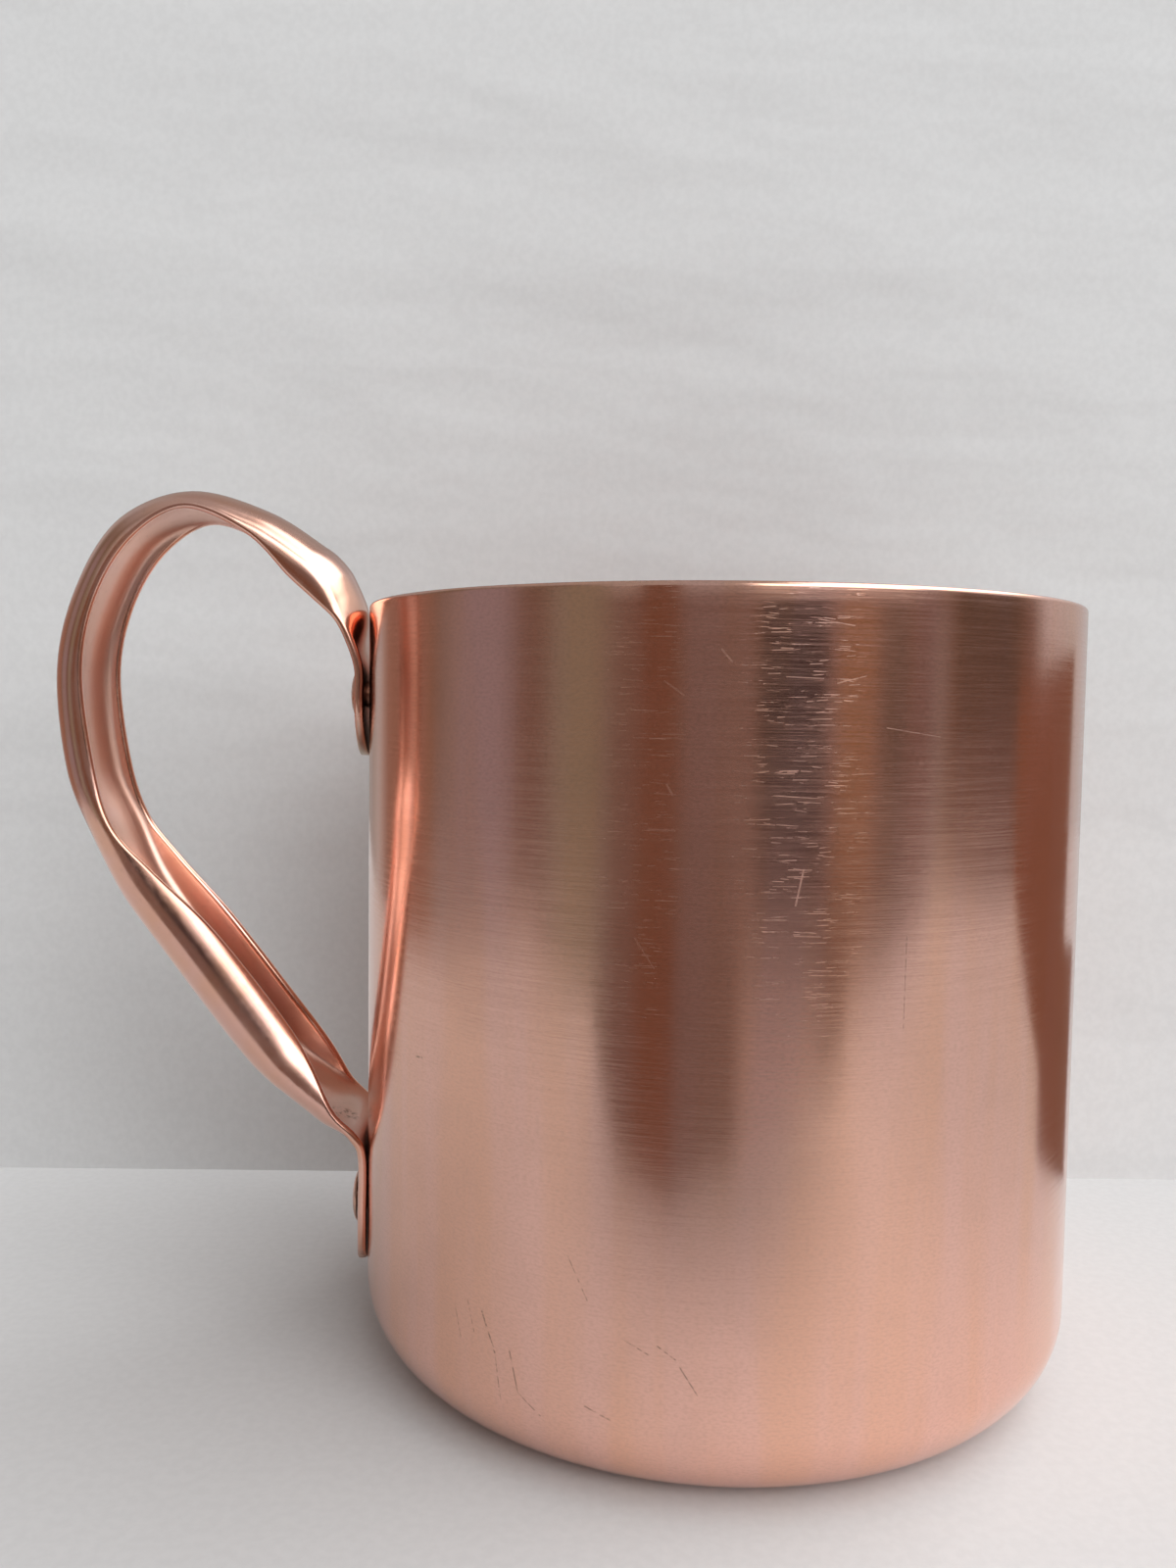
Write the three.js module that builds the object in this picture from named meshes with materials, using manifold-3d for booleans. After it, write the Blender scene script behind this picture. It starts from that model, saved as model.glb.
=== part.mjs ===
// A copper mug: a drawn cup with a straight wall, and a stamped strip handle held on by two rivets.
// Millimetres, +Z up. The cup's axis is Z, its flat underside is on Z = 0 and the handle is on the -X side.
import * as THREE from 'three';
import { mergeVertices } from 'three/addons/utils/BufferGeometryUtils.js';
import Module from 'manifold-3d';

const wasm = await Module();
wasm.setup();

// Cup body
const cupRadius = 41.3;
const cupHeight = 86.3;
const wall = 1.0;
const baseCorner = 8.4; // outside radius between the underside and the wall
const cupSides = 80;
const cornerSteps = 6;
const rimSteps = 4;

// Gap left between pieces that touch on the real mug
const seatGap = 0.2;

// Handle strip. Its width is taken between the centres of its rounded edges, or across its widest part where
// they are rolled in.
const stripThickness = 1.0;
const tabWidth = 13.5;
const tabPlane = cupRadius + seatGap + stripThickness / 2; // from the cup's axis to mid-thickness
const tabHug = hug(tabWidth); // how far the edges of the lower tab bend back round the cup
const upperRivetHeight = 76;
const lowerRivetHeight = 15;
const squareDepth = 3.2; // of a channel whose edges stand square to its crown; a deeper one rolls them in
const lipReach = 5.4; // half axis of the ellipse that the rolled part of an edge follows
const flatDepth = 0.001; // stands for no depth, so that a flat stretch has a section like the rest
const stripSteps = 3; // rings between two stations
const crownSteps = 14; // facets across the strip
const edgeSteps = 4; // facets round each edge, an even number
const tabEndSteps = 6; // rings round each tab's end
const tipWidth = 0.6; // of the last ring, between the centres of its edges

// Stations down the strip, from the upper rivet to the lower one: how far it stands out from the plane of
// the tabs, its height, its width and the depth of the channel. Between them they run on a smooth curve.
const stations = [
  [0.0, upperRivetHeight, tabWidth, 0.0],
  [0.0, 78.8, tabWidth, 0.0],
  [0.8, 81.6, 13.6, 0.4],
  [2.3, 84.6, 13.6, 2.4],
  [4.7, 86.9, 13.5, 4.0],
  [7.6, 89.5, 13.4, 4.3],
  [12.3, 94.2, 13.2, 2.7],
  [19.5, 97.0, 13.2, 1.8],
  [25.6, 93.5, 13.5, 3.0],
  [29.8, 86.6, 13.5, 3.1],
  [31.5, 78.1, 13.2, 3.45],
  [30.3, 67.4, 13.2, 3.7],
  [28.2, 60.5, 14.0, 3.1],
  [24.0, 55.3, 13.2, 4.8],
  [17.3, 48.2, 12.2, 6.2],
  [9.3, 37.8, 12.2, 6.4],
  [5.8, 32.5, 13.2, 5.3],
  [3.1, 27.4, 14.4, 2.6],
  [0.5, 24.6, 14.2, 0.8],
  [-tabHug, 22.0, tabWidth, tabHug],
  [-tabHug, lowerRivetHeight, tabWidth, tabHug],
];

// Rivets
const shankRadius = 1.6;
const holeRadius = shankRadius + 0.3;
const drillLength = 12; // of the cutter for the rivet holes
const headRadius = 3.0;
const upperHeadRise = 1.2; // above the tab's outer face
const lowerHeadRise = 0.9; // this head is hammered flatter
const tailRadius = 2.8; // the flattened tail inside the cup
const tailFlatRadius = 2.0;
const tailRise = 0.7;
const rivetSides = 24;
const domeSteps = 5;

const copper = { color: 0xc98468, roughness: 0.32, metalness: 1.0 };
const polishedCopper = { color: 0xd08a6c, roughness: 0.18, metalness: 1.0 };

// A closed surface with shared corners and no collapsed triangles.
function weld(geometry) {
  geometry.deleteAttribute('normal');
  geometry.deleteAttribute('uv');
  const welded = mergeVertices(geometry, 1e-4);
  const corners = welded.index.array;
  const kept = [];
  for (let i = 0; i < corners.length; i += 3) {
    const [a, b, c] = corners.slice(i, i + 3);
    if (a !== b && b !== c && c !== a) kept.push(a, b, c);
  }
  welded.setIndex(kept);
  return welded;
}

function toManifold(geometry) {
  return new wasm.Manifold(
    new wasm.Mesh({
      numProp: 3,
      vertProperties: new Float32Array(geometry.attributes.position.array),
      triVerts: new Uint32Array(geometry.index.array),
    }),
  );
}

function subtract(geometry, cutters) {
  let solid = toManifold(geometry);
  for (const cutter of cutters) solid = solid.subtract(toManifold(cutter));
  const mesh = solid.getMesh();
  const result = new THREE.BufferGeometry();
  result.setAttribute('position', new THREE.BufferAttribute(mesh.vertProperties, 3));
  result.setIndex(new THREE.BufferAttribute(mesh.triVerts, 1));
  return result;
}

// Points on an arc about (x, y), both ends included.
function arc(x, y, radius, fromDegrees, toDegrees, steps) {
  const points = [];
  for (let i = 0; i <= steps; i++) {
    const angle = THREE.MathUtils.degToRad(fromDegrees + ((toDegrees - fromDegrees) * i) / steps);
    points.push(new THREE.Vector2(x + radius * Math.cos(angle), y + radius * Math.sin(angle)));
  }
  return points;
}

// A hole's cutter: a rod along X through the wall on the handle's side.
function rivetHole(height) {
  const rod = new THREE.CylinderGeometry(holeRadius, holeRadius, drillLength, rivetSides);
  rod.rotateZ(Math.PI / 2);
  rod.translate(-cupRadius, 0, height);
  return weld(rod);
}

function cupGeometry() {
  const flat = cupRadius - baseCorner;
  const profile = [
    new THREE.Vector2(0, 0),
    ...arc(flat, baseCorner, baseCorner, -90, 0, cornerSteps),
    ...arc(cupRadius - wall / 2, cupHeight - wall / 2, wall / 2, 0, 180, rimSteps),
    ...arc(flat, baseCorner, baseCorner - wall, 0, -90, cornerSteps),
    new THREE.Vector2(0, wall),
  ];
  const cup = new THREE.LatheGeometry(profile, cupSides);
  cup.rotateX(Math.PI / 2);
  return subtract(weld(cup), [rivetHole(upperRivetHeight), rivetHole(lowerRivetHeight)]);
}

// Uniform Catmull-Rom interpolation between rows b and c of the station list.
function blendStations(a, b, c, d, t) {
  return b.map((value, k) => {
    const slope = c[k] - a[k];
    const bend = 2 * a[k] - 5 * b[k] + 4 * c[k] - d[k];
    const twist = 3 * b[k] - a[k] - 3 * c[k] + d[k];
    return 0.5 * (2 * value + slope * t + bend * t * t + twist * t ** 3);
  });
}

function smoothStations() {
  const last = stations.length - 1;
  const beyond = (end, next) => end.map((value, k) => 2 * value - next[k]);
  const rows = [beyond(stations[0], stations[1]), ...stations, beyond(stations[last], stations[last - 1])];
  const rings = [];
  for (let i = 0; i < last; i++) {
    for (let step = 0; step < stripSteps; step++) {
      rings.push(blendStations(rows[i], rows[i + 1], rows[i + 2], rows[i + 3], step / stripSteps));
    }
  }
  rings.push(stations[last]);
  return rings;
}

// How far a sheet of some width bends back at its edges to follow the cup.
function hug(width) {
  return width ** 2 / 8 / cupRadius;
}

// Rings that close a tab's lower end in a half circle about its rivet. bent is 1 for a tab that is bent round
// the cup and 0 for a flat one.
function tabEnd(rivetHeight, bent) {
  const endRadius = (tabWidth + stripThickness) / 2;
  const sweep = Math.acos((tipWidth + stripThickness) / 2 / endRadius);
  const rings = [];
  for (let i = 1; i <= tabEndSteps; i++) {
    const angle = (sweep * i) / tabEndSteps;
    const width = 2 * endRadius * Math.cos(angle) - stripThickness;
    const back = bent * hug(width);
    rings.push([-back, rivetHeight - endRadius * Math.sin(angle), width, back]);
  }
  return rings;
}

// The closed section at one ring, as [across the strip, outwards] pairs: an arched sheet with round edges.
function stripSection(width, depth) {
  const rise = Math.max(depth, flatDepth);
  const crownRise = Math.min(rise, squareDepth);
  const crownAngle = (Math.PI / 2) * Math.sqrt(crownRise / squareDepth);
  const edgeAngle = crownAngle + Math.asin((rise - crownRise) / lipReach);
  const across = width / 2 / Math.sin(crownAngle);
  const crownReach = crownRise / (1 - Math.cos(crownAngle));
  const half = stripThickness / 2;
  const point = (angle, turn) => {
    const reach = Math.abs(angle) <= crownAngle ? crownReach : lipReach;
    const normal = new THREE.Vector2(reach * Math.sin(angle), across * Math.cos(angle)).normalize();
    normal.rotateAround(new THREE.Vector2(), turn);
    const out = rise - crownReach + reach * Math.cos(angle);
    return [across * Math.sin(angle) + half * normal.x, out + half * normal.y];
  };
  const sweep = (i) => edgeAngle * ((2 * i) / crownSteps - 1);
  const roll = (i) => (-Math.PI * i) / edgeSteps;
  const section = [];
  for (let i = 0; i <= crownSteps; i++) section.push(point(sweep(i), 0));
  for (let i = 1; i < edgeSteps; i++) section.push(point(edgeAngle, roll(i)));
  for (let i = crownSteps; i >= 0; i--) section.push(point(sweep(i), Math.PI));
  for (let i = 1; i < edgeSteps; i++) section.push(point(-edgeAngle, Math.PI + roll(i)));
  return section;
}

// Places a section square to the strip's path between its neighbour rings, or level on the upright tabs.
function placeSection(ring, before, after) {
  const [reach, height, width, depth] = ring;
  const lean = reach > 0 || depth > tabHug ? after[0] - before[0] : 0;
  const along = new THREE.Vector2(lean, after[1] - before[1]).normalize();
  const outward = new THREE.Vector2(-along.y, along.x);
  return stripSection(width, depth).map(([across, out]) => [
    -(tabPlane + reach + outward.x * out),
    across,
    height + outward.y * out,
  ]);
}

// Closes a section with a ladder of quads from one edge of the strip to the other. At the two ends of the
// ladder a quad has two corners in one place, and weld() drops the half of it that has no area.
function capFaces(size) {
  const faces = [];
  for (let k = -edgeSteps / 2; k < crownSteps + edgeSteps / 2; k++) {
    const a = (k + size) % size;
    const b = (k + 1 + size) % size;
    const c = size - edgeSteps - k - 1;
    const d = (c + 1) % size;
    faces.push(a, c, b, a, d, c);
  }
  return faces;
}

// Joins a list of strip sections into one closed surface.
function loft(sections) {
  const size = sections[0].length;
  const lastRing = (sections.length - 1) * size;
  const faces = [...capFaces(size), ...capFaces(size).reverse().map((corner) => corner + lastRing)];
  for (let start = 0; start < lastRing; start += size) {
    for (let j = 0; j < size; j++) {
      const a = start + j;
      const b = start + ((j + 1) % size);
      faces.push(a, b, b + size, a, b + size, a + size);
    }
  }
  const geometry = new THREE.BufferGeometry();
  geometry.setAttribute('position', new THREE.Float32BufferAttribute(sections.flat(2), 3));
  geometry.setIndex(faces);
  return geometry;
}

function handleGeometry() {
  const upperEnd = tabEnd(upperRivetHeight, 0).reverse();
  const rings = [...upperEnd, ...smoothStations(), ...tabEnd(lowerRivetHeight, 1)];
  const last = rings.length - 1;
  const sections = rings.map((ring, i) => {
    const before = rings[Math.max(0, i - 1)];
    const after = rings[Math.min(last, i + 1)];
    return placeSection(ring, before, after);
  });
  return subtract(weld(loft(sections)), [rivetHole(upperRivetHeight), rivetHole(lowerRivetHeight)]);
}

// A rivet lying along X, with its domed head outside the tab and its flattened tail inside the cup.
function rivetGeometry(height, headRise) {
  const tabFace = tabPlane + stripThickness / 2;
  const headSeat = tabFace + seatGap;
  const domeRise = tabFace + headRise - headSeat;
  const tailSeat = cupRadius - wall - seatGap;
  const tailEnd = tailSeat - tailRise;
  const profile = [
    new THREE.Vector2(0, tailEnd),
    new THREE.Vector2(tailFlatRadius, tailEnd),
    new THREE.Vector2(tailRadius, tailSeat - tailRise / 2),
    new THREE.Vector2(tailRadius, tailSeat),
    new THREE.Vector2(shankRadius, tailSeat),
    new THREE.Vector2(shankRadius, headSeat),
  ];
  for (let i = 0; i <= domeSteps; i++) {
    const angle = (Math.PI / 2) * (i / domeSteps);
    profile.push(new THREE.Vector2(headRadius * Math.cos(angle), headSeat + domeRise * Math.sin(angle)));
  }
  const rivet = new THREE.LatheGeometry(profile, rivetSides);
  rivet.rotateZ(Math.PI / 2);
  rivet.translate(0, 0, height);
  return weld(rivet);
}

function piece(name, geometry, finish) {
  const mesh = new THREE.Mesh(geometry, new THREE.MeshStandardMaterial(finish));
  mesh.name = name;
  return mesh;
}

const mug = new THREE.Group();
mug.add(piece('cup_body', cupGeometry(), copper));
mug.add(piece('handle', handleGeometry(), polishedCopper));
mug.add(piece('upper_rivet', rivetGeometry(upperRivetHeight, upperHeadRise), polishedCopper));
mug.add(piece('lower_rivet', rivetGeometry(lowerRivetHeight, lowerHeadRise), polishedCopper));

export default mug;
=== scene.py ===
"""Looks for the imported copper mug: a satin drawn cup, a stamped strip handle and two rivets.

Metres, in the same frame as the CAD: the cup's axis is Z, it stands on Z = 0 and the handle is on -X.
"""

import math

import bpy
from mathutils import Matrix, Vector


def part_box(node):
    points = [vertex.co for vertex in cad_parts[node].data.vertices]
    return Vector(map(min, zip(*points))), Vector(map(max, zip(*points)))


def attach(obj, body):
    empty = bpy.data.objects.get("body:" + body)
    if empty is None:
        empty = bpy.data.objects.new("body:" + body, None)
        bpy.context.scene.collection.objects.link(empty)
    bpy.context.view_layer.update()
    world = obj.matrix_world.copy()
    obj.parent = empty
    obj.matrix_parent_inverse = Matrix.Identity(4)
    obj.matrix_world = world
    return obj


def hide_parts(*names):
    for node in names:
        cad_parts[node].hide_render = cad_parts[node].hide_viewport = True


MM = 0.001

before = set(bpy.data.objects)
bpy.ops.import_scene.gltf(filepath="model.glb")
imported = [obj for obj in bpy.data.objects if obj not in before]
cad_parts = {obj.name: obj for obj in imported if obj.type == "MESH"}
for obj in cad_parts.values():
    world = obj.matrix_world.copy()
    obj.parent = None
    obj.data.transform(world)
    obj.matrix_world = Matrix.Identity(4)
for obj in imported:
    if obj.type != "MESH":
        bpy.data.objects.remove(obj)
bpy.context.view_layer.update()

# Cup body
cup_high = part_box("cup_body")[1]
CUP_RADIUS = cup_high.x
CUP_HEIGHT = cup_high.z
WALL = 1.0 * MM
BASE_CORNER = 8.4 * MM  # outside radius between the underside and the wall
CUP_SIDES = 256
WALL_ROWS = 44
CORNER_STEPS = 20
RIM_STEPS = 12
BASE_RINGS = 12

# Handle strip. Its width is taken between the centres of its rounded edges, or across its widest part where
# they are rolled in.
SEAT_GAP = 0.2 * MM
STRIP_THICKNESS = 1.0 * MM
TAB_WIDTH = 13.5 * MM
TAB_PLANE = CUP_RADIUS + SEAT_GAP + STRIP_THICKNESS / 2
SQUARE_DEPTH = 3.2 * MM  # of a channel whose edges stand square to its crown; a deeper one rolls them in
LIP_REACH = 5.4 * MM  # half axis of the ellipse that the rolled part of an edge follows
FLAT_DEPTH = 0.001 * MM
STRIP_STEPS = 12
CROWN_STEPS = 32
EDGE_STEPS = 8
TAB_END_STEPS = 16
TIP_WIDTH = 0.3 * MM
SHARP_ANGLE = math.radians(40)  # edges that turn more than this stay crisp

# Rivets
RIVET_SIDES = 64
DOME_STEPS = 16
SHANK_RADIUS = 1.6 * MM
HOLE_RADIUS = 1.9 * MM
DRILL_SIDES = 48
DRILL_REACH = 4 * MM  # of the cutter for a rivet hole, to each side of the tab's plane
HEAD_RADIUS = 3.0 * MM
TAIL_RADIUS = 2.8 * MM
TAIL_FLAT_RADIUS = 2.0 * MM
TAIL_RISE = 0.7 * MM


def centre_height(node):
    low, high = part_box(node)
    return (low.z + high.z) / 2


def hug(width):
    """How far a sheet of some width bends back at its edges to follow the cup."""
    return width**2 / 8 / CUP_RADIUS


UPPER_RIVET = centre_height("upper_rivet")
LOWER_RIVET = centre_height("lower_rivet")
TAB_HUG = hug(TAB_WIDTH)

# Stations down the strip in millimetres, from the upper rivet to the lower one: how far it stands out from
# the plane of the tabs, its height, its width and the depth of the channel. Most rows between the tabs come
# from a separate program's fit to edges traced in the photo, rounded and in part adjusted by hand.
STATIONS = [
    (0.0, UPPER_RIVET / MM, TAB_WIDTH / MM, 0.0),
    (0.0, 78.8, TAB_WIDTH / MM, 0.0),
    (0.8, 81.6, 13.6, 0.4),
    (2.3, 84.6, 13.6, 2.4),
    (4.7, 86.9, 13.5, 4.0),
    (7.6, 89.5, 13.4, 4.3),
    (12.3, 94.2, 13.2, 2.7),
    (19.5, 97.0, 13.2, 1.8),
    (25.6, 93.5, 13.5, 3.0),
    (29.8, 86.6, 13.5, 3.1),
    (31.5, 78.1, 13.2, 3.45),
    (30.3, 67.4, 13.2, 3.7),
    (28.2, 60.5, 14.0, 3.1),
    (24.0, 55.3, 13.2, 4.8),
    (17.3, 48.2, 12.2, 6.2),
    (9.3, 37.8, 12.2, 6.4),
    (5.8, 32.5, 13.2, 5.3),
    (3.1, 27.4, 14.4, 2.6),
    (0.5, 24.6, 14.2, 0.8),
    (-TAB_HUG / MM, 22.0, TAB_WIDTH / MM, TAB_HUG / MM),
    (-TAB_HUG / MM, LOWER_RIVET / MM, TAB_WIDTH / MM, TAB_HUG / MM),
]


# ---------------------------------------------------------------- meshes

def mesh_object(name, vertices, faces):
    mesh = bpy.data.meshes.new(name)
    mesh.from_pydata(vertices, [], faces)
    mesh.validate()
    mesh.shade_smooth()
    piece = bpy.data.objects.new(name, mesh)
    bpy.context.scene.collection.objects.link(piece)
    return piece


def arc(x, y, radius, start, end, steps):
    """Points on an arc about (x, y), angles in degrees, both ends included."""
    angles = [math.radians(start + (end - start) * i / steps) for i in range(steps + 1)]
    return [(x + radius * math.cos(a), y + radius * math.sin(a)) for a in angles]


def between(start, end, steps):
    """Points on a straight line, both ends left out."""
    fractions = [i / steps for i in range(1, steps)]
    return [tuple(a + (b - a) * f for a, b in zip(start, end)) for f in fractions]


def revolve(profile, sides, place):
    """A closed surface turned from a profile of (radius, along) pairs that starts and ends on the axis.

    place turns (x, y, along) into a position.
    """
    vertices = [place(0.0, 0.0, profile[0][1])]
    for radius, along in profile[1:-1]:
        for k in range(sides):
            turn = 2 * math.pi * k / sides
            vertices.append(place(radius * math.cos(turn), radius * math.sin(turn), along))
    vertices.append(place(0.0, 0.0, profile[-1][1]))
    last = len(vertices) - 1
    rings = len(profile) - 2
    faces = []
    for k in range(sides):
        after = (k + 1) % sides
        faces.append((0, 1 + after, 1 + k))
        for ring in range(rings - 1):
            low = 1 + ring * sides
            faces.append((low + k, low + after, low + sides + after, low + sides + k))
        top = 1 + (rings - 1) * sides
        faces.append((top + k, top + after, last))
    return vertices, faces


def upright(x, y, along):
    """Places a profile that is turned about the cup's axis."""
    return Vector((x, y, along))


def lying(height, start=0.0):
    """Places a profile that is turned about a line along -X, at some height and from some distance on."""
    return lambda x, y, along: Vector((-start - along, x, height + y))


def cut_holes(piece, heights):
    """Cuts the rivet holes through a piece on the handle's side."""
    profile = [
        (0.0, -DRILL_REACH),
        (HOLE_RADIUS, -DRILL_REACH),
        (HOLE_RADIUS, DRILL_REACH),
        (0.0, DRILL_REACH),
    ]
    for height in heights:
        drill = mesh_object("drill", *revolve(profile, DRILL_SIDES, lying(height, TAB_PLANE)))
        cut = piece.modifiers.new("hole", "BOOLEAN")
        cut.operation = "DIFFERENCE"
        cut.solver = "EXACT"
        cut.object = drill
        bpy.context.view_layer.objects.active = piece
        bpy.ops.object.modifier_apply(modifier=cut.name)
        bpy.data.objects.remove(drill)
    piece.data.shade_smooth()
    piece.data.set_sharp_from_angle(angle=SHARP_ANGLE)


def make_cup():
    flat = CUP_RADIUS - BASE_CORNER
    rim_centre = CUP_HEIGHT - WALL / 2
    inner = CUP_RADIUS - WALL
    profile = [
        (0.0, 0.0),
        *between((0.0, 0.0), (flat, 0.0), BASE_RINGS),
        *arc(flat, BASE_CORNER, BASE_CORNER, -90, 0, CORNER_STEPS),
        *between((CUP_RADIUS, BASE_CORNER), (CUP_RADIUS, rim_centre), WALL_ROWS),
        *arc(CUP_RADIUS - WALL / 2, rim_centre, WALL / 2, 0, 180, RIM_STEPS),
        *between((inner, rim_centre), (inner, BASE_CORNER), WALL_ROWS),
        *arc(flat, BASE_CORNER, BASE_CORNER - WALL, 0, -90, CORNER_STEPS),
        *between((flat, WALL), (0.0, WALL), BASE_RINGS),
        (0.0, WALL),
    ]
    cup = mesh_object("cup", *revolve(profile, CUP_SIDES, upright))
    cut_holes(cup, [UPPER_RIVET, LOWER_RIVET])
    return cup


def smooth_stations():
    """Rings between the stations, on a uniform Catmull-Rom curve."""
    rows = [Vector(row) * MM for row in STATIONS]
    rows = [2 * rows[0] - rows[1], *rows, 2 * rows[-1] - rows[-2]]
    rings = []
    for a, b, c, d in zip(rows, rows[1:], rows[2:], rows[3:]):
        for step in range(STRIP_STEPS):
            t = step / STRIP_STEPS
            bend = 2 * a - 5 * b + 4 * c - d
            twist = 3 * b - a - 3 * c + d
            rings.append(0.5 * (2 * b + (c - a) * t + bend * t**2 + twist * t**3))
    rings.append(rows[-2])
    return rings


def tab_end(rivet_height, bent):
    """Rings that close a tab's end in a half circle about its rivet.

    bent is 1 for a tab that is bent round the cup and 0 for a flat one.
    """
    end_radius = (TAB_WIDTH + STRIP_THICKNESS) / 2
    sweep = math.acos((TIP_WIDTH + STRIP_THICKNESS) / 2 / end_radius)
    rings = []
    for i in range(1, TAB_END_STEPS + 1):
        angle = sweep * i / TAB_END_STEPS
        width = 2 * end_radius * math.cos(angle) - STRIP_THICKNESS
        back = bent * hug(width)
        rings.append(Vector((-back, rivet_height - end_radius * math.sin(angle), width, back)))
    return rings


def strip_section(width, depth):
    """The closed section at one ring, as (across, outwards) pairs: an arched sheet with round edges."""
    rise = max(depth, FLAT_DEPTH)
    crown_rise = min(rise, SQUARE_DEPTH)
    crown_angle = math.pi / 2 * math.sqrt(crown_rise / SQUARE_DEPTH)
    edge_angle = crown_angle + math.asin((rise - crown_rise) / LIP_REACH)
    across = width / 2 / math.sin(crown_angle)
    crown_reach = crown_rise / (1 - math.cos(crown_angle))
    half = STRIP_THICKNESS / 2

    def point(angle, turn):
        reach = crown_reach if abs(angle) <= crown_angle else LIP_REACH
        normal = Vector((reach * math.sin(angle), across * math.cos(angle))).normalized()
        normal = Matrix.Rotation(turn, 2) @ normal
        out = rise - crown_reach + reach * math.cos(angle)
        return Vector((across * math.sin(angle), out)) + half * normal

    sweep = [edge_angle * (2 * i / CROWN_STEPS - 1) for i in range(CROWN_STEPS + 1)]
    roll = [-math.pi * i / EDGE_STEPS for i in range(1, EDGE_STEPS)]
    return [
        *[point(angle, 0.0) for angle in sweep],
        *[point(edge_angle, turn) for turn in roll],
        *[point(angle, math.pi) for angle in reversed(sweep)],
        *[point(-edge_angle, math.pi + turn) for turn in roll],
    ]


def place_section(ring, before, after):
    """Places a section square to the path between its neighbour rings, or level on the upright tabs."""
    reach, height, width, depth = ring
    lean = after[0] - before[0] if reach > 0 or depth > TAB_HUG else 0.0
    along = Vector((lean, after[1] - before[1])).normalized()
    outward = Vector((-along.y, along.x))
    return [
        Vector((-(TAB_PLANE + reach + outward.x * out), across, height + outward.y * out))
        for across, out in strip_section(width, depth)
    ]


def cap_faces(size):
    """A ladder of faces across a section, from one edge of the strip to the other."""
    start = -EDGE_STEPS // 2
    end = CROWN_STEPS + EDGE_STEPS // 2
    faces = []
    for k in range(start, end):
        c = size - EDGE_STEPS - k - 1
        near, far, near_next, far_next = k % size, c % size, (k + 1) % size, (c + 1) % size
        ring = dict.fromkeys((near, far_next, far, near_next))
        faces.append(tuple(ring))
    return faces


def make_handle():
    rings = [*reversed(tab_end(UPPER_RIVET, 0)), *smooth_stations(), *tab_end(LOWER_RIVET, 1)]
    ends = [rings[0], *rings, rings[-1]]
    sections = [place_section(ring, before, after) for before, ring, after in zip(ends, rings, ends[2:])]
    size = len(sections[0])
    last = (len(sections) - 1) * size
    faces = [*cap_faces(size), *[tuple(last + v for v in reversed(face)) for face in cap_faces(size)]]
    caps = len(faces)
    for start in range(0, last, size):
        for j in range(size):
            a, b = start + j, start + (j + 1) % size
            faces.append((a, b, b + size, a + size))
    handle = mesh_object("strip_handle", [v for section in sections for v in section], faces)
    for face in handle.data.polygons[caps:]:
        face.material_index = int(CROWN_STEPS + EDGE_STEPS <= (face.index - caps) % size < size - EDGE_STEPS)
    cut_holes(handle, [UPPER_RIVET, LOWER_RIVET])
    return handle


def make_rivet(name, node):
    """A rivet lying along X, with its domed head outside the tab and its flattened tail inside the cup."""
    low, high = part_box(node)
    head_end = -low.x
    height = centre_height(node)
    head_seat = TAB_PLANE + STRIP_THICKNESS / 2 + SEAT_GAP
    tail_seat = CUP_RADIUS - WALL - SEAT_GAP
    tail_end = tail_seat - TAIL_RISE
    dome = [math.pi / 2 * i / DOME_STEPS for i in range(DOME_STEPS)]
    profile = [
        (0.0, tail_end),
        (TAIL_FLAT_RADIUS, tail_end),
        *[(TAIL_FLAT_RADIUS + (TAIL_RADIUS - TAIL_FLAT_RADIUS) * math.sin(a),
           tail_end + TAIL_RISE / 2 * (1 - math.cos(a))) for a in dome[2::2]],
        (TAIL_RADIUS, tail_seat),
        (SHANK_RADIUS, tail_seat),
        (SHANK_RADIUS, head_seat),
        *[(HEAD_RADIUS * math.cos(a), head_seat + (head_end - head_seat) * math.sin(a)) for a in dome],
        (0.0, head_end),
    ]
    rivet = mesh_object(name, *revolve(profile, RIVET_SIDES, lying(height)))
    rivet.data.set_sharp_from_angle(angle=SHARP_ANGLE)
    return rivet


# ---------------------------------------------------------------- materials

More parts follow.
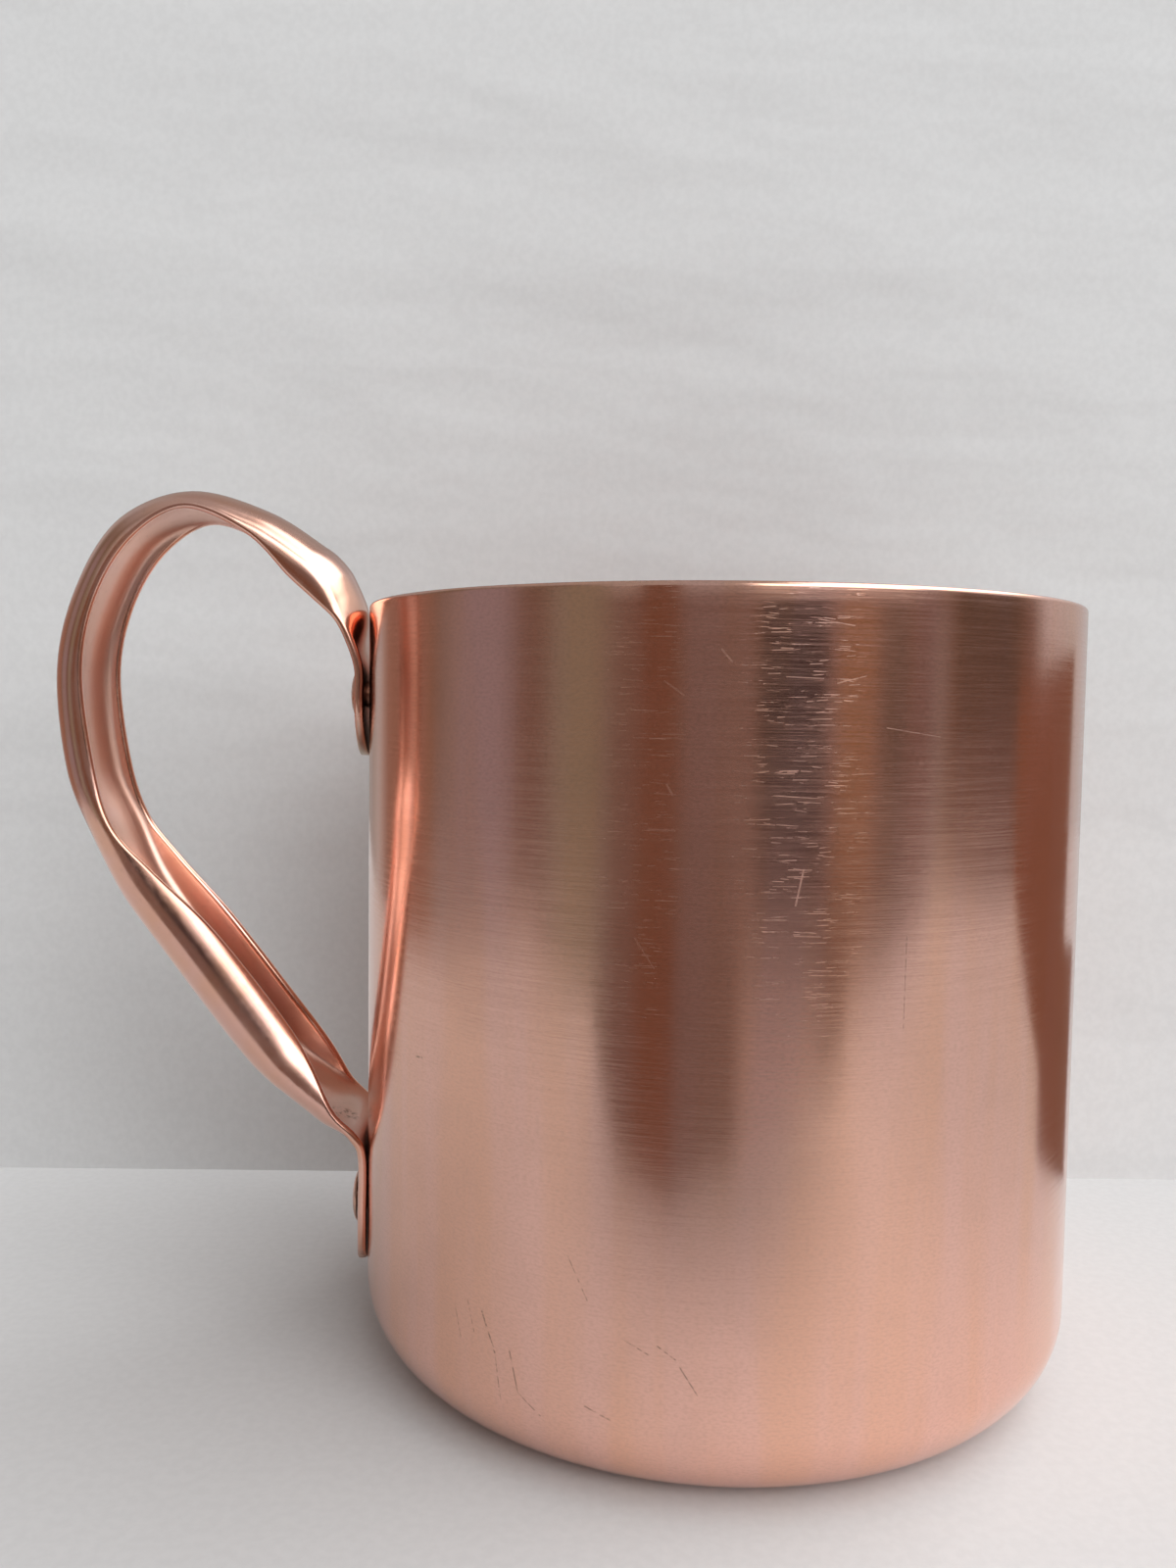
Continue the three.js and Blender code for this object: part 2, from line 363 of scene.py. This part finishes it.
class Graph:
    """Adds nodes to a tree and joins them, so that a formula reads in one line."""

    def __init__(self, tree):
        self.tree = tree
        tree.nodes.clear()

    def add(self, kind, inputs=None, **settings):
        node = self.tree.nodes.new(kind)
        for name, value in settings.items():
            setattr(node, name, value)
        for key, value in (inputs or {}).items():
            self.feed(node.inputs[key], value)
        return node

    def feed(self, socket, value):
        if isinstance(value, bpy.types.NodeSocket):
            self.tree.links.new(value, socket)
        else:
            socket.default_value = value

    def math(self, operation, a, b=0.0, c=0.0, clamp=False):
        node = self.add("ShaderNodeMath", {0: a, 1: b, 2: c}, operation=operation, use_clamp=clamp)
        return node.outputs[0]

    def vector(self, x, y, z=0.0):
        return self.add("ShaderNodeCombineXYZ", {0: x, 1: y, 2: z}).outputs[0]

    def split(self, vector):
        return self.add("ShaderNodeSeparateXYZ", {0: vector}).outputs[:]

    def vectors(self, operation, a, b=(0.0, 0.0, 0.0), scale=1.0):
        node = self.add("ShaderNodeVectorMath", {0: a, 1: b, 3: scale}, operation=operation)
        return node.outputs["Value" if operation in ("LENGTH", "DOT_PRODUCT") else "Vector"]

    def noise(self, vector, detail=2.0, roughness=0.5):
        """A noise near 0.5, about one blot to each unit of the vector."""
        inputs = {"Vector": vector, "Scale": 1.0, "Detail": detail, "Roughness": roughness}
        return self.add("ShaderNodeTexNoise", inputs).outputs[0]

    def fade(self, value, start, end, low=0.0, high=1.0):
        """Goes smoothly from low to high as value goes from start to end."""
        inputs = {"Value": value, "From Min": start, "From Max": end, "To Min": low, "To Max": high}
        return self.add("ShaderNodeMapRange", inputs, interpolation_type="SMOOTHSTEP").outputs[0]

    def mix(self, factor, a, b):
        """A blend of two colours."""
        node = self.add("ShaderNodeMix", {0: factor, 6: a, 7: b}, data_type="RGBA")
        return node.outputs[2]

    def most(self, values):
        """The largest of some masks."""
        result = values[0]
        for value in values[1:]:
            result = self.math("MAXIMUM", result, value)
        return result


def rgb(red, green, blue):
    return (red, green, blue, 1.0)


def new_material(name):
    material = bpy.data.materials.new(name)
    material.use_nodes = True
    return material, Graph(material.node_tree)


COPPER_ORANGE = rgb(0.86, 0.49, 0.36)
COPPER_PINK = rgb(0.87, 0.52, 0.43)
DULL_COPPER = rgb(0.62, 0.39, 0.31)
MATT_COPPER = rgb(0.82, 0.59, 0.51)
TARNISH = rgb(0.20, 0.14, 0.10)
VERDIGRIS = rgb(0.30, 0.29, 0.22)


def stroke(g, point, start, end, width):
    """A mask that is 1 on the line from start to end and fades out at half the width."""
    start, end = Vector(start), Vector(end)
    run = end - start
    offset = g.vectors("SUBTRACT", point, start[:])
    share = g.math("DIVIDE", g.vectors("DOT_PRODUCT", offset, run[:]), run.length_squared, clamp=True)
    nearest = g.vectors("SCALE", run[:], scale=share)
    distance = g.vectors("LENGTH", g.vectors("SUBTRACT", offset, nearest))
    return g.fade(distance, width / 2, width / 8)


def scratches(g, point, cell, length, width, lean, share, seed):
    """A mask of short straight scratches, one in a share of the cells of a grid over the surface.

    cell is a cell's size along x and y, length the longest scratch and lean its steepest slope. Each row of
    the grid is shifted by its own amount, so that the cells don't line up.
    """
    across, up = cell
    grid = g.vectors("DIVIDE", point, (across, up, 1.0))
    row = g.math("FLOOR", g.split(grid)[1])
    shift = g.add("ShaderNodeTexWhiteNoise", {"W": g.math("ADD", row, 10 * seed)}, noise_dimensions="1D")
    grid = g.vectors("ADD", grid, g.vector(g.math("MULTIPLY", shift.outputs["Value"], 7.0), 0.0))
    corner = g.vectors("FLOOR", grid)
    draw = g.add("ShaderNodeTexWhiteNoise", {"Vector": g.vectors("ADD", corner, (0.5, 0.5, seed))})
    first, second, third = g.split(draw.outputs["Color"])
    in_x, in_y, _ = g.split(g.vectors("FRACTION", grid))
    from_x = g.math("MULTIPLY", g.math("SUBTRACT", in_x, g.math("MULTIPLY_ADD", first, 0.3, 0.35)), across)
    from_y = g.math("MULTIPLY", g.math("SUBTRACT", in_y, g.math("MULTIPLY_ADD", second, 0.6, 0.2)), up)
    slope = g.math("MULTIPLY_ADD", third, 2 * lean, -lean)
    off_line = g.math("ABSOLUTE", g.math("SUBTRACT", from_y, g.math("MULTIPLY", from_x, slope)))
    reach = g.math("MULTIPLY_ADD", second, length / 4, length / 4)
    along = g.math("DIVIDE", g.math("ABSOLUTE", from_x), reach)
    line = g.math("MULTIPLY", g.fade(off_line, width / 2, width / 8), g.fade(along, 1.0, 0.6))
    chosen = g.math("LESS_THAN", draw.outputs["Value"], share)
    strength = g.math("MULTIPLY_ADD", first, 0.6, 0.4)
    return g.math("MULTIPLY", g.math("MULTIPLY", line, chosen), strength)


def on_wall(bearing, height):
    """A point of the unrolled wall, from a bearing in degrees and a height in millimetres."""
    return (math.radians(bearing) * CUP_RADIUS, height * MM, 0.0)


# Marks on the wall: bearing and height of one end, then of the other, and the width in millimetres. The ends
# were picked in the photo and turned into bearing and height by a separate program.
LIGHT_SCUFFS = [
    ((-107.7, 54.2), (-105.2, 51.6), 0.22),
    ((-87.8, 57.6), (-86.9, 60.8), 0.26),
    ((-97.5, 80.2), (-96.3, 79.2), 0.26),
    ((-104.5, 77.4), (-102.1, 76.2), 0.22),
    ((-104.0, 68.2), (-103.3, 67.3), 0.30),
    ((-83.2, 77.4), (-79.4, 78.1), 0.14),
    ((-85.8, 83.0), (-81.2, 82.5), 0.15),
    ((-76.5, 73.5), (-68.6, 72.7), 0.12),
    ((-89.6, 77.9), (-85.0, 77.8), 0.14),
    ((-109.7, 77.5), (-107.3, 77.4), 0.16),
]
DARK_HAIRLINES = [
    ((-129.6, 15.9), (-127.3, 12.3), 0.30),
    ((-127.3, 12.3), (-126.2, 7.7), 0.18),
    ((-124.9, 13.2), (-123.4, 9.2), 0.22),
    ((-123.4, 9.2), (-119.9, 7.6), 0.16),
    ((-134.9, 15.5), (-133.6, 12.4), 0.16),
    ((-132.5, 16.9), (-131.0, 13.4), 0.14),
    ((-113.4, 9.7), (-110.0, 8.9), 0.22),
    ((-108.1, 16.7), (-105.1, 15.7), 0.18),
    ((-103.9, 16.6), (-101.6, 15.5), 0.18),
    ((-101.0, 14.8), (-98.7, 12.3), 0.20),
    ((-116.1, 23.8), (-113.3, 19.9), 0.14),
    ((-144.6, 39.0), (-142.9, 39.1), 0.30),
    ((-72.8, 54.6), (-72.9, 46.1), 0.12),
]


def finish_copper(g, colour, roughness, height, anisotropy, axis, turn):
    """Ends a graph in a metal shader. height is in metres and makes the bump."""
    bump = g.add("ShaderNodeBump", {"Height": height, "Distance": 1.0, "Strength": 1.0})
    tangent = g.add("ShaderNodeTangent", direction_type="RADIAL", axis=axis)
    inputs = {
        "Base Color": colour,
        "Metallic": 1.0,
        "Roughness": roughness,
        "Anisotropic": anisotropy,
        "Anisotropic Rotation": turn,
        "Tangent": tangent.outputs[0],
        "Normal": bump.outputs[0],
    }
    shader = g.add("ShaderNodeBsdfPrincipled", inputs)
    g.add("ShaderNodeOutputMaterial", {"Surface": shader.outputs[0]})


def turned_lines(g, place, length, width, detail=2.0):
    """Noise drawn out into lines that run round the cup's axis, of a length and width in metres."""
    x, y, z = g.split(place)
    radius = g.vectors("LENGTH", g.vector(x, y))
    across = g.math("DIVIDE", g.math("ADD", z, radius), width)
    return g.noise(g.vector(g.math("DIVIDE", x, length), g.math("DIVIDE", y, length), across), detail)


def wall_copper():
    """The satin outside of the cup: brushed round the axis and a little stained.

    Its fine scratches are dense in two columns towards the camera and faint elsewhere.
    """
    material, g = new_material("satin_copper")
    place = g.add("ShaderNodeTexCoord").outputs["Object"]
    x, y, z = g.split(place)
    around = g.math("MULTIPLY", g.math("ARCTAN2", y, x), CUP_RADIUS)
    point = g.vector(around, z)

    fine = turned_lines(g, place, 10 * MM, 0.14 * MM)
    coarse = turned_lines(g, place, 24 * MM, 0.7 * MM)
    patch = g.noise(g.vectors("SCALE", place, scale=1 / (16 * MM)), 3.0)
    streak = g.noise(g.vectors("DIVIDE", point, (5 * MM, 70 * MM, 1.0)), 2.0)
    cloud = g.noise(g.vectors("SCALE", place, scale=1 / (5 * MM)), 4.0, 0.6)
    grain = g.noise(g.vectors("DIVIDE", point, (0.45 * MM, 0.22 * MM, 1.0)), 2.0)

    many = scratches(g, point, (2.6 * MM, 0.50 * MM), 4.0 * MM, 0.11 * MM, 0.06, 0.60, 1.0)
    more = scratches(g, point, (1.3 * MM, 0.45 * MM), 1.6 * MM, 0.10 * MM, 0.14, 0.50, 2.0)
    long = scratches(g, point, (11.0 * MM, 3.0 * MM), 8.0 * MM, 0.10 * MM, 0.07, 0.30, 3.0)
    hairline = scratches(g, point, (6.0 * MM, 0.7 * MM), 8.0 * MM, 0.10 * MM, 0.03, 0.60, 4.0)
    cluster = g.noise(g.vectors("DIVIDE", point, (2.6 * MM, 1.5 * MM, 1.0)), 2.0)
    bearing = g.math("DIVIDE", around, math.radians(CUP_RADIUS))
    left_column = g.fade(g.math("ABSOLUTE", g.math("ADD", bearing, 107.0)), 7.0, 2.0)
    right_column = g.fade(g.math("ABSOLUTE", g.math("ADD", bearing, 87.0)), 11.0, 3.0)
    rubbed = g.math("MULTIPLY", g.most([left_column, right_column]), g.fade(z, 40 * MM, 56 * MM, 0.15, 1.0))
    worn = g.math("MULTIPLY", g.fade(rubbed, 0.0, 1.0, 0.22, 1.0), g.fade(cluster, 0.42, 0.62, 0.12, 1.0))
    scuffs = [stroke(g, point, on_wall(*a), on_wall(*b), w * MM) for a, b, w in LIGHT_SCUFFS]
    light = g.math("MULTIPLY", g.most([many, more, long]), worn)
    faint = [g.math("MULTIPLY", g.most(scuffs), 0.45), g.math("MULTIPLY", hairline, 0.16)]
    light = g.most([light, *faint])
    hairs = [stroke(g, point, on_wall(*a), on_wall(*b), w * MM) for a, b, w in DARK_HAIRLINES]
    broken = g.fade(g.noise(g.vectors("SCALE", point, scale=1 / (0.5 * MM)), 2.0), 0.38, 0.58)
    dark = g.math("MULTIPLY", g.most(hairs), broken)

    colour = g.mix(g.fade(streak, 0.35, 0.65), COPPER_ORANGE, COPPER_PINK)
    colour = g.mix(g.fade(cloud, 0.45, 0.75, 0.0, 0.16), colour, DULL_COPPER)
    colour = g.mix(g.fade(grain, 0.40, 0.70, 0.0, 0.35), colour, DULL_COPPER)
    colour = g.mix(g.math("MULTIPLY", dark, 0.75), colour, TARNISH)
    roughness = g.math("ADD", g.fade(fine, 0.3, 0.7, 0.14, 0.20), g.fade(patch, 0.3, 0.7, -0.02, 0.02))
    roughness = g.math("MULTIPLY_ADD", light, 0.30, roughness)
    height = g.math("MULTIPLY", fine, 0.0010 * MM)
    height = g.math("MULTIPLY_ADD", coarse, 0.0030 * MM, height)
    finish_copper(g, colour, roughness, height, 0.6, "Z", 0.25)
    return material


def inside_copper():
    """The cup's inside: the same sheet, duller, with the rings left by drawing."""
    material, g = new_material("inside_copper")
    place = g.add("ShaderNodeTexCoord").outputs["Object"]
    fine = turned_lines(g, place, 12 * MM, 0.2 * MM)
    coarse = turned_lines(g, place, 60 * MM, 1.6 * MM)
    stain = g.noise(g.vectors("SCALE", place, scale=1 / (9 * MM)), 4.0, 0.6)
    colour = g.mix(g.fade(stain, 0.40, 0.70, 0.0, 0.45), COPPER_ORANGE, DULL_COPPER)
    roughness = g.math("ADD", g.fade(fine, 0.3, 0.7, 0.27, 0.36), g.fade(stain, 0.4, 0.7, 0.0, 0.10))
    height = g.math("MULTIPLY", fine, 0.0016 * MM)
    height = g.math("MULTIPLY_ADD", coarse, 0.006 * MM, height)
    finish_copper(g, colour, roughness, height, 0.6, "Z", 0.25)
    return material


def strip_copper(name, polish, matt):
    """The handle: brushed along the strip, tarnished at the tips of its tabs and stained at the lower bend.

    polish is its lowest roughness and matt the share of unpolished copper in its colour.
    """
    material, g = new_material(name)
    place = g.add("ShaderNodeTexCoord").outputs["Object"]
    x, _, z = g.split(place)
    drawn = g.vectors("MULTIPLY", place, (1 / (9 * MM), 1 / (0.18 * MM), 1 / (9 * MM)))
    fine = g.noise(drawn, 2.0)
    patch = g.noise(g.vectors("SCALE", place, scale=1 / (7 * MM)), 3.0)
    speck = g.noise(g.vectors("SCALE", place, scale=1 / (0.7 * MM)), 3.0, 0.6)

    on_tab = g.fade(x, -TAB_PLANE - 1.2 * MM, -TAB_PLANE - 0.6 * MM)
    ragged = g.math("MULTIPLY_ADD", patch, 3 * MM, z)
    low_tip = g.fade(ragged, LOWER_RIVET - 2.5 * MM, LOWER_RIVET - 5.5 * MM)
    upper_tip = g.math("MULTIPLY", g.fade(ragged, UPPER_RIVET + 1 * MM, UPPER_RIVET - 6 * MM),
                       g.fade(z, UPPER_RIVET - 12 * MM, UPPER_RIVET - 10 * MM))
    tip = g.math("MULTIPLY", g.most([low_tip, upper_tip]), on_tab)
    to_bend = g.vectors("LENGTH", g.vectors("SUBTRACT", place, (-TAB_PLANE - 2.2 * MM, 0.0, 26.0 * MM)))
    stain = g.math("MULTIPLY", g.fade(to_bend, 2.4 * MM, 0.8 * MM), g.fade(speck, 0.50, 0.62))

    colour = g.mix(g.fade(patch, 0.35, 0.65), COPPER_PINK, COPPER_ORANGE)
    colour = g.mix(matt, colour, MATT_COPPER)
    colour = g.mix(g.fade(speck, 0.55, 0.80, 0.0, 0.30), colour, DULL_COPPER)
    colour = g.mix(g.math("MULTIPLY", tip, 0.75), colour, VERDIGRIS)
    colour = g.mix(g.math("MULTIPLY", stain, 0.85), colour, TARNISH)
    roughness = g.fade(fine, 0.3, 0.7, polish, polish + 0.06)
    roughness = g.math("ADD", roughness, g.fade(speck, 0.4, 0.8, 0.0, 0.06))
    roughness = g.math("MULTIPLY_ADD", g.most([tip, stain]), 0.25, roughness)
    height = g.math("MULTIPLY", fine, 0.0008 * MM)
    height = g.math("MULTIPLY_ADD", patch, 0.03 * MM, height)
    finish_copper(g, colour, roughness, height, 0.3, "Y", 0.0)
    return material


def rivet_copper():
    """Hammered rivet heads, dark where they meet the tab."""
    material, g = new_material("rivet_copper")
    place = g.add("ShaderNodeTexCoord").outputs["Object"]
    x = g.split(place)[0]
    dents = g.add("ShaderNodeTexVoronoi", {"Vector": place, "Scale": 1 / (1.3 * MM)}, feature="SMOOTH_F1")
    patch = g.noise(g.vectors("SCALE", place, scale=1 / (1.1 * MM)), 4.0, 0.6)
    seat = g.fade(x, -TAB_PLANE - 0.95 * MM, -TAB_PLANE - 0.65 * MM)
    grime = g.math("MAXIMUM", seat, g.fade(patch, 0.55, 0.75, 0.0, 0.4))
    colour = g.mix(g.fade(patch, 0.35, 0.65), COPPER_ORANGE, DULL_COPPER)
    colour = g.mix(g.math("MULTIPLY", grime, 0.6), colour, TARNISH)
    roughness = g.fade(patch, 0.3, 0.7, 0.22, 0.40)
    height = g.math("MULTIPLY", dents.outputs["Distance"], 0.12 * MM)
    finish_copper(g, colour, roughness, height, 0.0, "X", 0.0)
    return material


def paper(name, albedo, fold_height):
    """Matt pale paper with faint folds."""
    material, g = new_material(name)
    place = g.add("ShaderNodeTexCoord").outputs["Object"]
    fold = g.noise(g.vectors("MULTIPLY", place, (14.0, 14.0, 40.0)), 3.0)
    fibre = g.noise(g.vectors("SCALE", place, scale=900.0), 3.0)
    colour = g.mix(g.fade(fibre, 0.3, 0.7), rgb(*[0.96 * c for c in albedo]), rgb(*albedo))
    height = g.math("MULTIPLY", fold, fold_height)
    bump = g.add("ShaderNodeBump", {"Height": height, "Distance": 1.0, "Strength": 1.0})
    inputs = {"Base Color": colour, "Roughness": 0.9, "Normal": bump.outputs[0]}
    inputs["Specular IOR Level"] = 0.1
    shader = g.add("ShaderNodeBsdfPrincipled", inputs)
    return material, g, shader


# ---------------------------------------------------------------- the stage

CAMERA_BEARING = -98.0  # degrees, where the camera stands seen from the cup's axis
CAMERA_DISTANCE = 153.9 * MM
CAMERA_HEIGHT = 75.4 * MM
HEADING = 87.75  # degrees
PITCH = 3.678  # degrees down
ROLL = 0.793  # degrees
LENS = 29.115

BACKDROP_DISTANCE = 46.2 * MM  # behind the cup's axis
BACKDROP_TURN = -1.7  # degrees


def level(bearing, distance, height=0.0):
    turn = math.radians(bearing)
    return Vector((distance * math.cos(turn), distance * math.sin(turn), height))


def make_camera():
    data = bpy.data.cameras.new("camera")
    data.sensor_width = 36
    data.lens = LENS
    data.clip_start = 5 * MM
    camera = bpy.data.objects.new("camera", data)
    bpy.context.scene.collection.objects.link(camera)
    forward = level(HEADING, math.cos(math.radians(PITCH)), -math.sin(math.radians(PITCH)))
    right = forward.cross(Vector((0, 0, 1))).normalized()
    up = right.cross(forward)
    roll = Matrix.Rotation(-math.radians(ROLL), 3, forward)
    axes = [roll @ right, roll @ up, -forward]
    spin = Matrix(axes).transposed().to_4x4()
    camera.matrix_world = Matrix.Translation(level(CAMERA_BEARING, CAMERA_DISTANCE, CAMERA_HEIGHT)) @ spin
    bpy.context.scene.camera = camera


def seen_only_by(piece, *rays):
    for ray in ("camera", "diffuse", "glossy", "transmission", "shadow"):
        setattr(piece, f"visible_{ray}", ray in rays)


def make_floor():
    """The paper under the mug, and the cut-out copy of it that the mug mirrors.

    The copy darkens to each side and towards the spot where the photo's camera stands.
    """
    material, g, shader = paper("floor_paper", (0.68, 0.685, 0.69), 0.4 * MM)
    g.add("ShaderNodeOutputMaterial", {"Surface": shader.outputs[0]})
    shaded, g, shader = paper("floor_in_shade", (0.68, 0.685, 0.69), 0.4 * MM)
    place = g.add("ShaderNodeTexCoord").outputs["Object"]
    to_camera = g.vectors("LENGTH", g.vectors("SUBTRACT", place, level(CAMERA_BEARING, CAMERA_DISTANCE)[:]))
    aside = g.math("ABSOLUTE", g.math("SUBTRACT", g.split(place)[0], 10 * MM))
    shade = g.math("MULTIPLY", g.fade(to_camera, 30 * MM, 110 * MM, 0.50, 1.15),
                   g.fade(aside, 10 * MM, 140 * MM, 0.95, 0.74))
    paper_colour = shader.inputs["Base Color"].links[0].from_socket
    g.feed(shader.inputs["Base Color"], g.vectors("SCALE", paper_colour, scale=shade))
    g.add("ShaderNodeOutputMaterial", {"Surface": shader.outputs[0]})
    span = 3.0
    outline = [(-span, -span), (span, -span), (span, span), (-span, span)]
    floor = mesh_object("floor", [(x, y, -0.05 * MM) for x, y in outline], [(0, 1, 2, 3)])
    seen_only_by(floor, "camera", "diffuse", "transmission", "shadow")

    table = [
        (-0.28, 0.60), (-0.28, -0.20), (-0.13, -0.20), (-0.09, -0.160), (-0.05, -0.122), (-0.018, -0.115),
        (0.0, -0.130), (0.05, -0.145), (0.115, -0.165), (0.15, -0.20), (0.43, -0.20), (0.43, 0.60),
    ]
    turn = Matrix.Rotation(math.radians(CAMERA_BEARING + 90), 3, "Z")
    corners = [turn @ Vector((x, y, 0.0)) for x, y in table]
    mirrored = mesh_object("floor_mirrored", corners, [tuple(range(len(table)))])
    seen_only_by(mirrored, "glossy")
    for piece, finish in ((floor, material), (mirrored, shaded)):
        piece.data.materials.append(finish)


def make_backdrop():
    """The paper behind the mug. It shows from the front only, and the mug doesn't mirror it."""
    material, g, shader = paper("wall_paper", (0.73, 0.74, 0.745), 2.4 * MM)
    behind = g.add("ShaderNodeNewGeometry").outputs["Backfacing"]
    clear = g.add("ShaderNodeBsdfTransparent").outputs[0]
    mixed = g.add("ShaderNodeMixShader", {0: behind, 1: shader.outputs[0], 2: clear})
    g.add("ShaderNodeOutputMaterial", {"Surface": mixed.outputs[0]})
    corners = [(-0.8, 0.0, -0.001), (0.8, 0.0, -0.001), (0.8, 0.0, 0.8), (-0.8, 0.0, 0.8)]
    turn = Matrix.Rotation(math.radians(BACKDROP_TURN), 3, "Z")
    offset = Vector((0.0, BACKDROP_DISTANCE, 0.0))
    wall = mesh_object("backdrop", [turn @ Vector(c) + offset for c in corners], [(0, 1, 2, 3)])
    wall.data.materials.append(material)
    seen_only_by(wall, "camera", "transmission")


# Soft patches for the room that the mug mirrors, in the order they are laid over the pale studio. Degrees
# and linear colours: bearing to the right of the camera's, elevation, half width, half height, soft edge and
# colour
ROOM = [
    (-165, 15, 25, 50, 8, (0.340, 0.310, 0.290)),  # the paper behind the handle
    (-78, 15, 38, 28, 14, (0.180, 0.150, 0.120)),  # the dim side of the room
    (12, -33, 98, 45, 6, (0.170, 0.120, 0.105)),  # the dim room behind the camera
    (-116, -10, 18, 25, 8, (0.280, 0.170, 0.130)),
    (-78, -10, 14, 40, 7, (0.270, 0.240, 0.260)),
    (-42, -10, 9, 30, 6, (0.235, 0.230, 0.190)),
    (-17, -40, 6, 60, 3, (0.165, 0.085, 0.055)),
    (0, -20, 10, 30, 3, (0.180, 0.135, 0.120)),
    (22, -1, 10, 8, 3, (0.030, 0.022, 0.024)),
    (41, -1, 6, 8, 3, (0.240, 0.150, 0.090)),
    (53, -1, 4, 7, 3, (0.120, 0.090, 0.070)),
    (68, -1, 3, 6, 3, (0.220, 0.200, 0.200)),
    (87, 6, 14, 7, 4, (0.100, 0.075, 0.060)),
    (20, -16, 12, 4, 3, (0.420, 0.370, 0.370)),
    (122, 28, 40, 12, 8, (0.700, 0.700, 0.700)),
    (95, 52, 57, 20, 6, (3.000, 3.000, 3.000)),  # the window, high on the right
    (37, 34, 25, 17, 4, (3.000, 3.000, 3.000)),
]
STUDIO = rgb(0.52, 0.52, 0.52)
CEILING = rgb(0.38, 0.38, 0.38)
BACKGROUND = rgb(0.60, 0.60, 0.60)


def make_world():
    """The studio and room that light the mug and show in it. The camera itself sees a plain grey."""
    world = bpy.data.worlds.new("studio")
    world.use_nodes = True
    bpy.context.scene.world = world
    g = Graph(world.node_tree)
    x, y, z = g.split(g.add("ShaderNodeTexCoord").outputs["Generated"])
    bearing = g.math("DEGREES", g.math("ARCTAN2", y, x))
    bearing = g.math("WRAP", g.math("SUBTRACT", bearing, CAMERA_BEARING), 180.0, -180.0)
    elevation = g.math("DEGREES", g.math("ARCSINE", z))
    colour = g.mix(g.fade(elevation, 8.0, 28.0), STUDIO, CEILING)
    for at, height, half_width, half_height, soft, tint in ROOM:
        aside = g.math("ABSOLUTE", g.math("SUBTRACT", bearing, float(at)))
        above = g.math("ABSOLUTE", g.math("SUBTRACT", elevation, float(height)))
        inside = g.math("MULTIPLY", g.fade(aside, half_width + soft, half_width - soft),
                        g.fade(above, half_height + soft, half_height - soft))
        colour = g.mix(inside, colour, rgb(*tint))
    direct = g.add("ShaderNodeLightPath").outputs["Is Camera Ray"]
    colour = g.mix(direct, colour, BACKGROUND)
    g.add("ShaderNodeOutputWorld", {"Surface": g.add("ShaderNodeBackground", {"Color": colour}).outputs[0]})


def make_fill():
    """A soft light from the right of the camera, for the papers only: the mug doesn't mirror it."""
    data = bpy.data.lights.new("fill", "AREA")
    data.shape = "RECTANGLE"
    data.size, data.size_y = 0.6, 0.4
    data.energy = 1.1
    light = bpy.data.objects.new("fill", data)
    light.location = (0.38, -0.62, 0.48)
    light.rotation_euler = (Vector((0.03, 0.05, 0.10)) - light.location).to_track_quat("-Z", "Y").to_euler()
    light.visible_camera = False
    light.visible_glossy = False
    bpy.context.scene.collection.objects.link(light)


def make_amber_card():
    """Two dim glowing panels behind the mug to the right, seen only as they show in the mug."""
    material, g = new_material("amber_card")
    glow = g.add("ShaderNodeEmission", {"Color": rgb(0.215, 0.112, 0.078)})
    g.add("ShaderNodeOutputMaterial", {"Surface": glow.outputs[0]})
    turn = Matrix.Rotation(math.radians(CAMERA_BEARING + 90), 3, "Z")
    panels = [((0.110, 0.018), (0.075, 0.046), 0.038), ((0.098, 0.046), (0.46, 0.046), 0.085)]
    corners = []
    for (x, y), (end_x, end_y), top in panels:
        corners += [(x, y, 0.0), (end_x, end_y, 0.0), (end_x, end_y, top), (x, y, top)]
    card = mesh_object("amber_card", [turn @ Vector(c) for c in corners], [(0, 1, 2, 3), (4, 5, 6, 7)])
    card.data.materials.append(material)
    seen_only_by(card, "glossy")


# ---------------------------------------------------------------- the mug

def dress(piece, node, slot, *materials):
    """Puts a finished piece in the place of its CAD node."""
    for material in materials:
        piece.data.materials.append(material)
    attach(piece, "root")
    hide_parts(node)


def paint_inside(cup):
    """Gives the inner faces the second material, from just below the rim down."""
    for face in cup.data.polygons:
        centre = face.center
        reach = math.hypot(centre.x, centre.y)
        in_bore = reach < CUP_RADIUS - 0.8 * WALL and centre.z > BASE_CORNER
        on_bottom = centre.z > 0.9 * WALL and reach < CUP_RADIUS - BASE_CORNER
        from_corner = math.hypot(reach - CUP_RADIUS + BASE_CORNER, centre.z - BASE_CORNER)
        in_corner = from_corner < BASE_CORNER - 0.8 * WALL
        face.material_index = int(in_bore or on_bottom or (in_corner and centre.z > WALL / 2))


cup = make_cup()
dress(cup, "cup_body", "cup_copper", wall_copper(), inside_copper())
paint_inside(cup)
polished = strip_copper("handle_copper", 0.15, 0.0)
unpolished = strip_copper("channel_copper", 0.28, 0.45)
dress(make_handle(), "handle", "handle_copper", polished, unpolished)
rivet_finish = rivet_copper()
dress(make_rivet("upper_rivet_head", "upper_rivet"), "upper_rivet", "rivet_copper", rivet_finish)
dress(make_rivet("lower_rivet_head", "lower_rivet"), "lower_rivet", "rivet_copper", rivet_finish)

make_camera()
make_floor()
make_backdrop()
make_amber_card()
make_world()
make_fill()
bpy.context.scene.view_settings.view_transform = "Standard"
